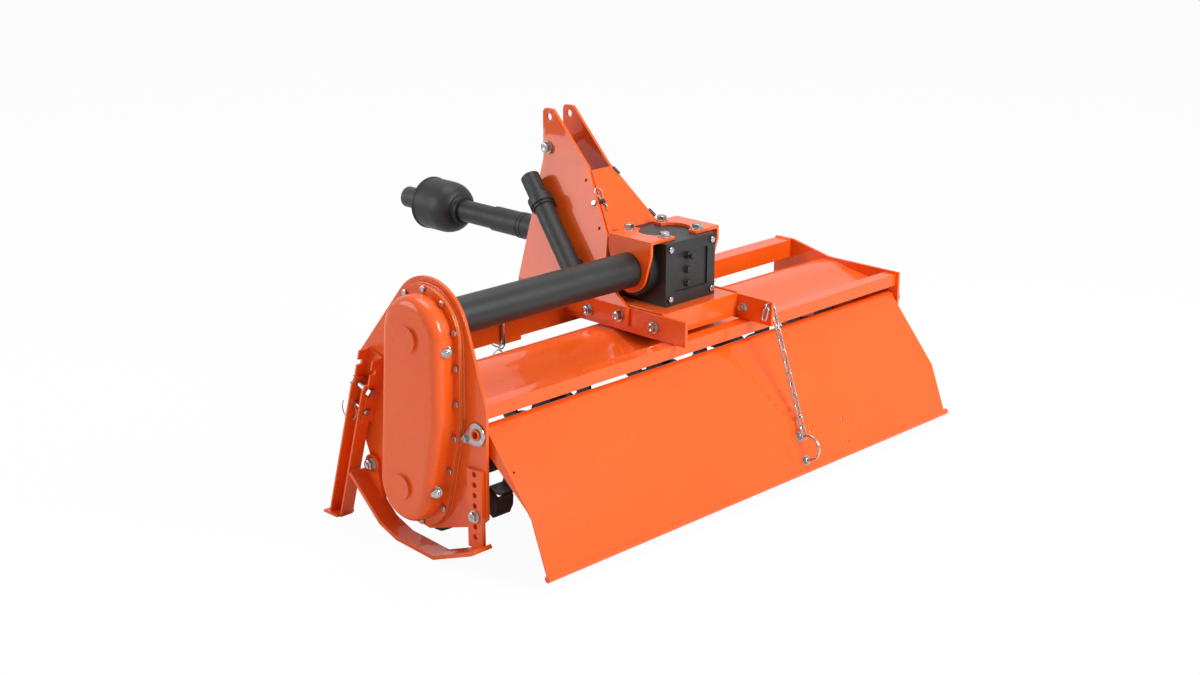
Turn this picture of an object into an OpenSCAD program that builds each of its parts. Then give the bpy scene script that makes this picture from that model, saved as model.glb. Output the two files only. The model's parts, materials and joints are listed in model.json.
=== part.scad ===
// Rotavator for a three-point hitch, parked on its skids and front stand.
// X runs across the machine, +Y points forward to the tractor, +Z is up.
// Sizes below are set out from the middle between the side plates (x), the gearbox (y)
// and the ground (z). placed() then moves the machine to the middle of its own box.

/* [Frame] */
// Clear width between the two side plates
frame_w = 1514; // [1400:2:1640]
// Thickness of a side plate
plate_t = 8; // [5:0.5:12]
// Outside size of the square front tube
tube_s = 52; // [44:1:58]
// Wall of the front tube
tube_wall = 5; // [3:0.5:8]
// Middle of the front tube, forward
tube_y = 215; // [205:1:225]
// Middle of the front tube, above the ground
tube_z = 391; // [385:1:396]
// Thickness of the hood sheet
hood_t = 4; // [3:0.5:5]
// Height of the ledge along the hood's rear edge
ledge_z = 386; // [380:1:390]

/* [Chain case] */
// Middle of the chain case's upper end, forward
case_top_y = -10; // [-20:1:0]
// Middle of the chain case's upper end, above the ground
case_top_z = 518; // [505:1:530]
// Radius of the side plate round the upper end
plate_arc_r = 130; // [124:1:140]
// Outline radius of the cover's flange at the upper end
case_top_r = 114; // [106:1:120]
// Outline radius of the cover's flange at the chain's tensioner
case_mid_r = 104; // [98:1:107]
// Outline radius of the cover's flange at the lower end
case_low_r = 106; // [98:1:112]
// Width of the bolting flange round the cover
case_flange_w = 18; // [14:1:22]
// Depth of the welded rim that the cover is bolted to
rim_h = 8; // [5:1:14]
// Thickness of the gasket
gasket_t = 2; // [1:0.5:3]
// Thickness of the cover's flange
cover_flange_t = 4; // [3:0.5:6]
// Depth of the cover's pressed dome
dome_h = 50; // [40:1:60]
// Wall of the cover
cover_wall = 4; // [3:0.5:6]
// Height of the round bosses on the cover
boss_h = 7; // [2:0.5:8]
// Radius of the round bosses on the cover
boss_r = 30; // [24:1:34]

/* [Gearbox and axle tube] */
// Half width of the gearbox casting
gear_half_w = 88; // [80:1:96]
// Height of the shafts in the gearbox
gear_z = 538; // [532:1:544]
// Outside radius of the axle tube
axle_r = 44; // [38:1:48]
// Wall of the axle tube
axle_wall = 6; // [4:0.5:10]
// Outer face of a gearbox mounting plate, from the middle
mount_x = 125; // [118:1:132]
// Thickness of the mounting plates
mount_t = 8; // [6:0.5:10]
// Outer face of the supporting brackets, from the middle
bracket_x = 145; // [140:1:156]
// Thickness of the supporting brackets
bracket_t = 8; // [6:0.5:10]
// Height of the supporting brackets
bracket_h = 64; // [60:1:72]

/* [Mast] */
// Half of the gap between the two mast ears
ear_gap = 32; // [26:1:38]
// Thickness of the mast plates
mast_t = 8; // [6:0.5:10]
// Radius of the top link pin hole
top_pin_r = 10; // [9:0.1:13]
// Height of the top link pin hole
ear_z = 858; // [840:1:880]
// Top link pin hole, forward
ear_y = 361; // [350:1:361]
// Half of the spread between the lower hitch points
hitch_half = 341.5; // [330:0.5:360]
// Clear gap of a lower hitch clevis
clevis_gap = 52; // [46:1:60]
// Radius of the lower hitch pin holes
hitch_pin_r = 11.2; // [11:0.1:14]
// Radius of the tube for the operator's papers
canister_r = 26; // [22:1:30]

/* [Rotor] */
// Rotor axis, forward
rotor_y = 27; // [20:1:34]
// Rotor axis, above the ground
rotor_z = 160; // [158:1:170]
// Radius to the tips of the tines
tine_r = 150; // [130:1:154]
// Radius of the rotor tube
rotor_tube_r = 38; // [30:1:44]
// Radius of the rotor's end stubs
stub_r = 25; // [20:0.5:28]
// Radius of the tine flanges
flange_r = 80; // [74:1:86]
// Number of tine flanges
flange_n = 7; // [5:1:8]
// Number of tines on each flange
tine_n = 6; // [4:2:6]
// Reach of a tine's foot to the side
tine_foot = 52; // [40:1:60]

/* [Deflector] */
// Gap between the deflector and each side plate
deflector_gap = 7; // [5:0.5:12]
// Thickness of the deflector sheet
deflector_t = 4; // [3:0.5:5]
// Hinge axis of the deflector, forward
hinge_y = -164; // [-168:1:-160]
// Hinge axis of the deflector, above the ground
hinge_z = 319; // [314:1:321]
// Outside radius of the hinge pipe
hinge_r = 13.4; // [10:0.1:15]
// Outside radius of the rolled upper edge
top_roll_r = 16.5; // [16:0.5:20]
// Radius of the rolled lower edge
low_roll_r = 8; // [6:0.5:10]
// Bend radius of the chain hoop
hoop_r = 31; // [26:1:36]
// Straight part of the hoop's legs outside the panel
hoop_leg = 22; // [20:1:28]
// Wire of the chain hoop
hoop_d = 7; // [5:0.5:7]
// Wire of the chain's links
link_d = 5; // [4:0.5:5.5]
// Number of links between the notch and the hoop, an even number
link_n = 12; // [10:2:12]

/* [Skids and stands] */
// Width of a skid's sole
skid_w = 50; // [40:1:54]
// Thickness of the skid bar
skid_t = 10; // [8:0.5:12]
// Lean of the parking stand, foot forward
stand_lean = 17; // [15:0.5:20]
// Pivot of the parking stand, above the ground
stand_z = 348; // [340:1:360]
// Width of a stand's leg across its flanges
stand_w = 44; // [38:1:50]
// Wall of the stand's leg
stand_wall = 5; // [4:0.5:6]
// Radius of the stand's pivot bolt
pivot_r = 8; // [6:0.5:10]
// Radius of the stand's lock pin
lock_r = 5.5; // [4:0.5:6.5]
// Distance from the pivot bolt to the lock pin
lock_step = 54; // [46:1:60]

/* [Driveline] */
// Front face of the tractor yoke
yoke_tip_y = 990; // [980:1:1010]
// Radius of the tractor shaft bore in the yoke
pto_r = 17.5; // [17:0.1:18]
// Outside radius of the rear shield tube
rear_shield_r = 34; // [33:0.5:38]
// Outside radius of the front shield tube
front_shield_r = 30.5; // [26:0.5:31]
// Radius of the bell over the tractor yoke
bell_r = 74; // [66:1:78]
// Radius of the universal joints' trunnions
trunnion_r = 9; // [7:0.5:10]
// Radius of the shaft that turns in the front shield
shaft_r = 17; // [14:0.5:18]

/* [Hidden] */
$fn = 64;
// Number of straight steps in an arc that is drawn as part of an outline
arc_n = 32;
// Clearance of pins and shafts in their holes, on the radius
fit = 0.08;
// Gap between parts that slide past each other
slip = 0.3;

ORANGE = "#f26a2e";
BLACK = "#26262a";
ZINC = "#b9bcc0";
STEEL = "#4a4a4e";
GASKET = "#7a5230";

x_in = frame_w / 2;
x_out = x_in + plate_t;

// Places in the side view, as [y, z]
plate_rear_y = -190;
plate_front_y = 250;
tube_top = tube_z + tube_s / 2;
tube_low = tube_z - tube_s / 2;
tube_rear = tube_y - tube_s / 2;
tube_front = tube_y + tube_s / 2;
rotor_at = [rotor_y, rotor_z];
hinge_at = [hinge_y, hinge_z];
case_top = [case_top_y, case_top_z];
case_mid = [case_top_y - 8, (case_top_z + rotor_z) / 2 + 6];
plate_foot = [
    [plate_front_y, 225], [200, 109], [60, 48], [10, 42],
    [plate_rear_y + 25, 99], [plate_rear_y, 122]
];

// Layers of the chain case, outwards from the left side plate
rim_x = x_out + rim_h;
gasket_x = rim_x + gasket_t;
flange_x = gasket_x + cover_flange_t;
dome_x = flange_x + dome_h;

// Mast
bracket_low = ledge_z;
bracket_top = bracket_low + bracket_h;
bend_z = ear_z - 112;
tab_z = bracket_top;
flare = atan2(bracket_x - ear_gap, bend_z - tab_z);
ear_r = 22;
mast_front_y = ear_y + ear_r;
mast_bend_rear_y = 218;
mast_foot_rear_y = -30;
mast_foot_front_y = 362;
// Height at a share of the way from the mast's foot to its bend
function mast_z(share) = tab_z + share * (bend_z - tab_z);
mast_waist_z = mast_z(0.5);
mast_hip_z = mast_z(0.17);
rear_left_y = -216;
rear_right_y = -250;

// Gearbox
gear_y = -8;
gear_low = bracket_top + 2;
gear_top = 612;
gear_rear = -86;
gear_front = 62;
gear_neck = 16;
cover_t = 14;

// Universal joints and driveline, all on one line through the gearbox input
joint_y = 152;
pto_joint_y = 900;
fork_in = 19;
fork_out = 29;
fork_r = 16;
fork_neck_r = 30;
rear_tube_y = 205;
bell_rim_y = 890;
bell_neck_y = bell_rim_y - 145;
rear_tube_end = bell_neck_y - 130;
front_tube_y = rear_tube_end - 190;
shaft_end_y = bell_neck_y - 45;

// Stands
stand_y = 203;
stand_x = x_out + 29;
leg_depth = 36;
foot_t = 6;
foot_half = 26;
stand_bracket_t = 5;
stand_bracket_h = 86;
stand_slot = stand_w / 2 + 0.6;

// Deflector sheet, hoop and chain
deflector_half = x_in - deflector_gap;
knee = [-320, 159];
low_edge = [-366, 31];
sheet_low = low_edge + [-1, low_roll_r];
panel_dir = (sheet_low - knee) / norm(sheet_low - knee);
panel_out = [panel_dir[1], -panel_dir[0]];
hoop_mid = knee + 81 * panel_dir;
link_w = 7.5;
ring_w = 10;
notch_at = [rear_right_y + 12, bracket_top - 14];
chain_x = bracket_x + link_w / 2 + link_d + 0.1;
link_bend = (link_w + link_d) / 2;
chain_foot = notch_at - [0, link_bend];
hoop_bend = hoop_mid + hoop_leg * panel_out;
chain_hold = hoop_mid - hoop_r * panel_dir + (hoop_leg - 6) * panel_out;
chain_dir = (chain_foot - chain_hold) / norm(chain_foot - chain_hold);
chain_top = chain_foot + (link_d + 0.25) * chain_dir;
chain_len = norm(chain_top - chain_hold) + (ring_w + link_d) / 2;
link_pitch = (chain_len - link_d - slip) / link_n;
link_len = link_pitch + slip;

// Box of the whole machine, for its origin
x_min = -(dome_x + boss_h);
x_max = x_out + skid_w;
y_min = min(low_edge[0] - low_roll_r, hoop_bend[0] - hoop_r - hoop_d / 2);
mid = [(x_min + x_max) / 2, (y_min + yoke_tip_y) / 2, 0];

function unit(v) = v / norm(v);
function side_of(a, b) = let(d = unit(b - a)) [-d[1], d[0]];
function miter(pts, i) =
    i == 0 ? side_of(pts[0], pts[1]) :
    i == len(pts) - 1 ? side_of(pts[i - 1], pts[i]) :
    let(n = side_of(pts[i - 1], pts[i]), m = unit(n + side_of(pts[i], pts[i + 1]))) m / (m * n);
// Outline of a bent sheet: the points of one face, and the same points moved by its thickness
function bent(pts, t) = concat(pts, [for (i = [len(pts) - 1 : -1 : 0]) pts[i] + t * miter(pts, i)]);
function polar(r, a) = [r * sin(a), r * cos(a)];
function at_angle(c, r, a) = c + r * [cos(a), sin(a)];
function arc(c, r, from, to) = [for (i = [0 : arc_n]) at_angle(c, r, from + (to - from) * i / arc_n)];
// Direction, and point, where a line from p touches the circle c, r
function touch_angle(c, r, p, way) = let(d = p - c) atan2(d[1], d[0]) + way * acos(r / norm(d));
function touch(c, r, p, way) = at_angle(c, r, touch_angle(c, r, p, way));
// Outline of a belt round two circles
function belt_points(c1, r1, c2, r2) =
    let(d = c2 - c1, a = atan2(d[1], d[0]), b = acos((r1 - r2) / norm(d)))
    concat(arc(c1, r1, a + b, a - b + 360), arc(c2, r2, a - b, a + b));

module placed() {
    translate(-mid) children();
}

// Draws a [y, z] outline as a plate that starts at x and is t thick
module plate_x(x, t) {
    translate([x, 0, 0]) rotate([90, 0, 90]) linear_extrude(t) children();
}

module rod_x(p, r, x0, x1) {
    translate([x0, p[0], p[1]]) rotate([0, 90, 0]) cylinder(r = r, h = x1 - x0);
}

module rod_y(x, z, r, y0, y1) {
    translate([x, y0, z]) rotate([-90, 0, 0]) cylinder(r = r, h = y1 - y0);
}

module block(low, high) {
    translate(low) cube(high - low);
}

module disc(c, r) {
    translate(c) circle(r = r);
}

module belt(c1, r1, c2, r2) {
    polygon(belt_points(c1, r1, c2, r2));
}

// Everything is drawn for the left side; the right side is its mirror image
module on_side(side) {
    if (side < 0)
        children();
    else
        mirror([1, 0, 0]) children();
}

// Side plates and rotor bearing

module left_outline() {
    front_top = [plate_front_y - 4, tube_top + 3];
    rear_top = [plate_rear_y - 3, ledge_z - 4];
    from = touch_angle(case_top, plate_arc_r, front_top, 1);
    to = touch_angle(case_top, plate_arc_r, rear_top, -1) + 360;
    polygon(concat([front_top], plate_foot, [rear_top], arc(case_top, plate_arc_r, to, from)));
}

module right_outline() {
    top = ledge_z + 6;
    polygon(concat(
        [
            [plate_rear_y, top], [52, top], [182, tube_top + 3],
            [plate_front_y - 10, tube_top + 3], [plate_front_y, tube_top - 9]
        ],
        plate_foot
    ));
}

module left_side_plate() {
    color(ORANGE) placed() plate_x(-x_out, plate_t) difference() {
        left_outline();
        disc(rotor_at, stub_r + fit);
        disc(hinge_at, hinge_r + fit);
    }
}

module right_side_plate() {
    color(ORANGE) placed() plate_x(x_in, plate_t) difference() {
        right_outline();
        disc(rotor_at, stub_r + 4);
        disc(hinge_at, hinge_r + fit);
    }
}

module rotor_bearing() {
    color(BLACK) placed() difference() {
        union() {
            rod_x(rotor_at, 62, x_out, x_out + 10);
            rod_x(rotor_at, 42, x_out, x_out + 34);
        }
        rod_x(rotor_at, stub_r + fit, x_out - 1, x_out + 26);
    }
}

// Cross members

module front_tube() {
    color(ORANGE) placed() plate_x(-x_in, frame_w) translate([tube_y, tube_z]) difference() {
        square(tube_s, center = true);
        square(tube_s - 2 * tube_wall, center = true);
    }
}

module hood() {
    rear = plate_rear_y + 13;
    gutter = ledge_z - 28;
    top = [
        [tube_rear - 65, tube_low], [95, ledge_z - 8], [70, ledge_z - 2],
        [20, ledge_z - 2], [-20, ledge_z - 12], [-78, gutter + 6], [-150, gutter],
        [rear, gutter], [rear, ledge_z - hood_t], [rear + 34, ledge_z - hood_t]
    ];
    color(ORANGE) placed() plate_x(-x_in, frame_w) polygon(bent(top, hood_t));
}

// Chain case on the left side plate

// Angle of the outward normal of the line that touches both circles, on the rear or the front side
function belt_angle(c1, r1, c2, r2, way) =
    let(d = c2 - c1) atan2(d[1], d[0]) + way * acos((r1 - r2) / norm(d));

// Belt round the two sprockets and, at the rear, the chain's tensioner
module case_outline(inset) {
    top = case_top_r - inset;
    mid = case_mid_r - inset;
    low = case_low_r - inset;
    front = belt_angle(case_top, top, rotor_at, low, 1);
    upper = belt_angle(case_top, top, case_mid, mid, -1) + 360;
    lower = belt_angle(case_mid, mid, rotor_at, low, -1) + 360;
    polygon(concat(
        arc(case_top, top, front, upper), arc(case_mid, mid, upper, lower), arc(rotor_at, low, lower, front + 360)
    ));
}

module case_ring(x, t) {
    plate_x(x, t) difference() {
        case_outline(0);
        case_outline(case_flange_w + cover_wall);
    }
}

module chain_case_rim() {
    color(ORANGE) placed() case_ring(-rim_x, rim_h);
}

module chain_case_gasket() {
    color(GASKET) placed() case_ring(-gasket_x, gasket_t);
}

// One end of the cover's pressed dome, with a rounded shoulder
module dome_end(c, r, h, s) {
    steps = 6;
    round_edge = [for (i = [0 : steps]) let(a = 90 * i / steps)
        [r - s * (1 - cos(a)), h - s * (1 - sin(a))]];
    translate(c) rotate_extrude() polygon(concat([[0, 0], [r, 0]], round_edge, [[0, h]]));
}

module chain_case_cover() {
    shoulder = 24;
    hollow = case_flange_w + cover_wall;
    color(ORANGE) placed() {
        case_ring(-flange_x, cover_flange_t);
        translate([-flange_x, 0, 0]) rotate([90, 0, 90]) mirror([0, 0, 1]) difference() {
            hull() {
                dome_end(case_top, case_top_r - case_flange_w, dome_h, shoulder);
                dome_end(case_mid, case_mid_r - case_flange_w, dome_h, shoulder);
                dome_end(rotor_at, case_low_r - case_flange_w, dome_h, shoulder);
            }
            translate([0, 0, -1]) linear_extrude(dome_h - shoulder + 1) case_outline(hollow);
            linear_extrude(dome_h - cover_wall) case_outline(hollow + shoulder);
        }
        for (c = [case_top, rotor_at])
            rod_x(c, boss_r, -(dome_x + boss_h), -(dome_x - cover_wall / 2));
    }
}

module axle_tube() {
    axis = [gear_y, gear_z];
    color(BLACK) placed() difference() {
        rod_x(axis, axle_r, -x_in, -mount_x);
        rod_x(axis, axle_r - axle_wall, -x_in - 1, -mount_x + 1);
    }
}

// Gearbox and what carries it

module gearbox_housing() {
    face = mount_x - mount_t;
    color(BLACK) placed() {
        block([-gear_half_w, gear_rear, gear_low], [gear_half_w, gear_front, gear_top]);
        rod_x([gear_y, gear_z], 66, -face, face);
        rod_y(0, gear_z, 48, gear_front, gear_front + gear_neck);
    }
}

module gearbox_cover() {
    back = gear_rear - cover_t;
    color(BLACK) placed() difference() {
        block([-gear_half_w - 2, back, gear_low], [gear_half_w + 2, gear_rear, gear_top]);
        block([-56, back - 1, gear_low + 32], [62, back + 5, gear_top - 30]);
    }
}

module gearbox_mount(side) {
    at = [gear_y, gear_z];
    top = gear_top + mount_t;
    rear = gear_y - 74;
    front = gear_y + 70;
    tongue_r = axle_r + 14;
    flange_in = 38;
    color(ORANGE) placed() on_side(side) {
        plate_x(-mount_x, mount_t) {
            disc(at, tongue_r);
            polygon([
                [front, top - 34], [front, top], [rear, top], [rear, top - 34],
                touch(at, tongue_r, [rear, top - 34], 1), touch(at, tongue_r, [front, top - 34], -1)
            ]);
        }
        difference() {
            block([-mount_x, rear, gear_top], [-flange_in, front, top]);
            translate([-flange_in + 12, gear_y - 2, gear_top - 1]) cylinder(r = 48, h = mount_t + 2);
        }
    }
}

module gearbox_mount_left() {
    gearbox_mount(-1);
}

module gearbox_mount_right() {
    gearbox_mount(1);
}

module gearbox_base() {
    inner = bracket_x - bracket_t;
    sheet_t = 8;
    color(ORANGE) placed() {
        block([-inner, -137, gear_low - sheet_t], [inner, 77, gear_low]);
        for (y = [-112, 52])
            block([-inner, y - 25, bracket_low + 6], [inner, y + 25, gear_low - sheet_t]);
    }
}

module bracket_outline(rear) {
    polygon([[tube_rear, bracket_low], [rear, bracket_low], [rear, bracket_top], [tube_rear, bracket_top]]);
}

module support_bracket_left() {
    color(ORANGE) placed() plate_x(-bracket_x, bracket_t) bracket_outline(rear_left_y);
}

// The right bracket is longer, with a notch that holds a link of the deflector's chain
module support_bracket_right() {
    slot = link_d + 1;
    low = notch_at[1] - link_w / 2 - link_d + slot / 2 - slip;
    color(ORANGE) placed() plate_x(bracket_x - bracket_t, bracket_t) difference() {
        bracket_outline(rear_right_y);
        disc([notch_at[0], low], slot / 2);
        translate([notch_at[0] - slot / 2, low]) square([slot, bracket_h]);
    }
}

// Mast plates: straight at the ears, flared below the bend, straight again at the foot

module flared(side) {
    on_side(side) translate([-ear_gap, 0, bend_z]) rotate([0, flare, 0]) children();
}

// Rear edge of the mast plates at height z, down to the waist
function mast_rear_y(z) =
    mast_bend_rear_y - (mast_bend_rear_y - mast_foot_rear_y) * (bend_z - z) / (bend_z - tab_z);

// Distance along the flared plate from the bend down to height z
function down(z) = (bend_z - z) / cos(flare);

module mast_plate(side) {
    ear = [ear_y, ear_z];
    corner = 9;
    rear = ear + [-corner, corner];
    rear_turn = (touch_angle(rear, ear_r - corner, [mast_bend_rear_y, bend_z], -1) + 360) % 360;
    low = bracket_low + 16;
    top = ear_z + ear_r + 10;
    miter = mast_t * tan(flare / 2);
    color(ORANGE) placed() on_side(side) difference() {
        intersection() {
            plate_x(-bracket_x - 2 * mast_t, bracket_x + 2 * mast_t) polygon(concat(
                [[mast_foot_front_y, tab_z], [mast_front_y, bend_z]],
                arc(ear + [corner, corner], ear_r - corner, 0, 90),
                arc(rear, ear_r - corner, 90, rear_turn),
                [
                    [mast_bend_rear_y, bend_z], [mast_rear_y(mast_waist_z), mast_waist_z], [66, mast_hip_z],
                    [mast_foot_rear_y, tab_z], [mast_foot_rear_y, low], [tube_rear, low], [tube_rear, tube_top],
                    [tube_front, tube_top], [mast_foot_front_y, tube_top + 14]
                ]
            ));
            translate([0, mast_front_y + 50, 0]) rotate([90, 0, 0])
                linear_extrude(mast_front_y - mast_foot_rear_y + 100) polygon([
                    [-ear_gap, top], [-ear_gap, bend_z], [-bracket_x, tab_z], [-bracket_x, low - 10],
                    [-bracket_x - mast_t, low - 10], [-bracket_x - mast_t, tab_z + miter],
                    [-ear_gap - mast_t, bend_z + miter], [-ear_gap - mast_t, top]
                ]);
        }
        rod_x(ear, top_pin_r, -ear_gap - 2 * mast_t, 0);
        for (z = [mast_z(0.9), mast_z(0.55)])
            rod_x([mast_rear_y(z) + 21, z], 4.5, -bracket_x - 2 * mast_t, 0);
    }
}

module mast_plate_left() {
    mast_plate(-1);
}

module mast_plate_right() {
    mast_plate(1);
}

module mast_spacer() {
    at = [ear_y + 4, ear_z - 79];
    color(ZINC) placed() difference() {
        rod_x(at, 14, -ear_gap, ear_gap);
        rod_x(at, 8, -ear_gap - 1, ear_gap + 1);
    }
}

// Sheet across the rear edges of the flared plates
module mast_guard() {
    fall = bend_z - tab_z;
    run = mast_bend_rear_y - mast_foot_rear_y;
    top = 10;
    low = 185;
    half = [for (s = [top, low]) ear_gap + tan(flare) * s * fall / norm([fall, run]) + 2];
    color(ORANGE) placed() translate([0, mast_bend_rear_y, bend_z]) rotate([atan2(fall, run), 0, 0])
        translate([0, 0, 0.8]) linear_extrude(4)
            polygon([[-half[0], -top], [half[0], -top], [half[1], -low], [-half[1], -low]]);
}

// Tube for the operator's papers, on a slanting line along the left mast plate
canister_a = [379, -down(mast_z(0.811))];
canister_b = [140, -down(mast_z(0.142))];
cap_len = 72;
collar_t = 7;

module on_canister() {
    d = canister_b - canister_a;
    placed() flared(-1) translate([-mast_t - canister_r - collar_t, canister_a[0], canister_a[1]])
        rotate([atan2(d[1], d[0]), 0, 0]) rotate([-90, 0, 0]) children();
}

module manual_canister() {
    length = norm(canister_b - canister_a);
    color(BLACK) on_canister() {
        translate([0, 0, cap_len]) cylinder(r = canister_r, h = length - cap_len);
        translate([0, 0, cap_len]) cylinder(r = canister_r + collar_t, h = 24);
        translate([0, 0, cap_len + 24]) cylinder(r = canister_r + collar_t / 2, h = 8);
        for (z = [cap_len + 2, length - 40])
            translate([2, -18, z]) cube([canister_r + collar_t - 2.05, 36, 26]);
    }
}

module canister_cap() {
    color(BLACK) on_canister() difference() {
        cylinder(r = canister_r - 1, h = cap_len);
        for (a = [0 : 20 : 340])
            rotate(a) translate([canister_r + 0.4, 0, 6]) cylinder(r = 2, h = cap_len - 20);
    }
}

// Lower hitch clevises on the front tube

hitch_at = [361, 400];
clevis_t = 10;
clevis_r = 30;
clevis_margin = 10;

module lower_hitch(side) {
    low = [tube_front, tube_low - clevis_margin];
    high = [tube_front, tube_top + clevis_margin];
    outer = clevis_gap / 2 + clevis_t;
    color(ORANGE) placed() on_side(side) translate([-hitch_half, 0, 0]) {
        for (x = [-outer, clevis_gap / 2])
            plate_x(x, clevis_t) difference() {
                union() {
                    disc(hitch_at, clevis_r);
                    polygon([low, high, touch(hitch_at, clevis_r, high, -1), touch(hitch_at, clevis_r, low, 1)]);
                }
                disc(hitch_at, hitch_pin_r);
            }
        block([-outer, tube_rear, tube_low - clevis_margin], [outer, tube_front, tube_low]);
    }
}

module lower_hitch_left() {
    lower_hitch(-1);
}

module lower_hitch_right() {
    lower_hitch(1);
}

// Hooked pins that hang behind the front tube, one for each lower hitch point
module hitch_lock_pins() {
    pin_r = 6;
    bend = 12;
    top = tube_top - 4;
    low = tube_low - 1;
    color(ZINC) placed() for (side = [-1, 1])
        on_side(side) translate([-hitch_half - clevis_gap / 2 - clevis_t / 2, tube_rear - pin_r - 0.2, low]) {
            cylinder(r = pin_r, h = top - low);
            translate([-bend, 0, 0]) rotate([90, 0, 0]) rotate(-90)
                rotate_extrude(angle = 90) translate([bend, 0]) circle(r = pin_r);
        }
}

// Skids: a bent sole, a drilled depth bar at the rear and a pivot lug at the front

module skid(side) {
    sole = [[-206, 61], [-190, 51], [-58, 0], [74, 8], [135, 30], [243, 124]];
    pivot = [206, 149];
    bar_y = -160;
    bar_w = 48;
    bar_top = 236;
    hole_step = 25;
    color(ORANGE) placed() on_side(side) translate([-x_out, 0, 0]) {
        plate_x(-skid_w, skid_w) polygon(bent(sole, skid_t));
        plate_x(-skid_t, skid_t) difference() {
            translate([bar_y - bar_w / 2, 48]) square([bar_w, bar_top - 48]);
            for (i = [0 : 6])
                disc([bar_y, bar_top - 10 - hole_step * i], 7);
        }
        plate_x(-skid_t, skid_t) difference() {
            union() {
                disc(pivot, 24);
                polygon([pivot + [23, 6], [230, 122], [165, 66], pivot + [-22, -10]]);
            }
            disc(pivot, 9);
        }
    }
}

module skid_left() {
    skid(-1);
}

module skid_right() {
    skid(1);
}

// Plates that keep the hinge pipe from sliding out
module hinge_retainers() {
    color(ZINC) placed() for (side = [-1, 1])
        on_side(side) plate_x(-x_out - 5, 5) difference() {
            belt(hinge_at, hinge_r + 13, hinge_at + [36, -18], 11.5);
            disc(hinge_at, hinge_r + fit);
        }
}

// Parking stand on the left side: a channel leg that swings outwards about a bolt across its bracket

module at_stand() {
    placed() translate([-stand_x, stand_y, stand_z]) rotate([stand_lean, 0, 0]) children();
}

module stand_bracket() {
    back = stand_x - x_out;
    lip = -7;
    notch_r = lock_r + 2;
    outer = stand_slot + stand_bracket_t;
    color(ORANGE) at_stand() difference() {
        block([lip, -outer, -stand_bracket_h], [back, outer, stand_bracket_h]);
        block([lip - 1, -stand_slot, -stand_bracket_h - 1], [back - stand_bracket_t, stand_slot, stand_bracket_h + 1]);
        rod_y(0, 0, pivot_r + fit, -outer - 1, outer + 1);
        for (z = [-lock_step, lock_step]) {
            rod_y(0, z, notch_r, -outer - 1, outer + 1);
            block([lip - 1, -outer - 1, z - notch_r], [0, outer + 1, z + notch_r]);
        }
    }
}

module stand_pivot() {
    outer = stand_slot + stand_bracket_t;
    head = 9;
    color(ZINC) at_stand() {
        rod_y(0, 0, pivot_r, -outer - 1, outer + 1);
        rod_y(0, 0, pivot_r + 5, -outer - head, -outer, $fn = 6);
        rod_y(0, 0, pivot_r + 5, outer, outer + head, $fn = 6);
    }
}

module parking_stand() {
    half = stand_w / 2;
    reach = stand_z / cos(stand_lean) + 30;
    foot_y = stand_y + stand_z * tan(stand_lean);
    color(ORANGE) difference() {
        union() {
            at_stand() difference() {
                union() {
                    rod_y(0, 0, leg_depth / 2, -half, half);
                    block([-leg_depth / 2, -half, -reach], [leg_depth / 2, half, 0]);
                }
                block([-leg_depth / 2 - 1, -half + stand_wall, -reach - 1],
                    [leg_depth / 2 - stand_wall, half - stand_wall, leg_depth / 2 + 1]);
                rod_y(0, 0, pivot_r + fit, -half - 1, half + 1);
                rod_y(0, -lock_step, lock_r + fit, -half - 1, half + 1);
            }
            placed()
                block([-stand_x - foot_half, foot_y - 18, 0], [-stand_x + foot_half, foot_y + 34, foot_t]);
        }
        placed()
            block([-stand_x - 100, foot_y - 200, -200], [-stand_x + 100, foot_y + 200, 0]);
    }
}

module stand_lock_pin() {
    end = stand_slot + stand_bracket_t + 6;
    color(ZINC) at_stand() {
        rod_y(0, -lock_step, lock_r, -end, end);
        rod_y(0, -lock_step, lock_r + 3.5, -end, -end + 4);
    }
}

// Rotor with its flanges and bent tines

module tine(hand) {
    on_side(-hand) {
        plate_x(3, 9) polygon([
            [-20, 48], [20, 48], polar(tine_r - 44, 14), polar(tine_r - 14, 10),
            polar(tine_r - 4, 0), polar(tine_r, -10), polar(tine_r - 20, -12)
        ]);
        plate_x(4, tine_foot) polygon([
            polar(tine_r - 14, 10), polar(tine_r - 4, 0), polar(tine_r, -10), polar(tine_r - 9, -10),
            polar(tine_r - 12, 0), polar(tine_r - 22, 9)
        ]);
    }
}

module rotor() {
    end_gap = 97;
    pitch = (frame_w - 2 * end_gap) / (flange_n - 1);
    color(STEEL) placed() {
        rod_x(rotor_at, rotor_tube_r, -x_in + 15, x_in - 15);
        rod_x(rotor_at, stub_r, -x_out + 1, x_out + 24);
        for (i = [0 : flange_n - 1]) {
            x = (i - (flange_n - 1) / 2) * pitch;
            rod_x(rotor_at, flange_r, x - 4, x + 4);
            for (j = [0 : tine_n - 1])
                translate([x, rotor_y, rotor_z]) rotate([j * 360 / tine_n + i * 23, 0, 0])
                    tine(j % 2 == 0 ? 1 : -1);
        }
    }
}

// Deflector: a sheet rolled round the hinge pipe, with a knee and a rolled lower edge

sheet_top = touch(hinge_at, top_roll_r, knee, -1);

// Moves to a point of the hoop's plane, with the panel's outward direction as +Z
module off_panel(p) {
    translate([chain_x, p[0], p[1]]) rotate([atan2(-panel_out[0], panel_out[1]), 0, 0]) children();
}

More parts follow.
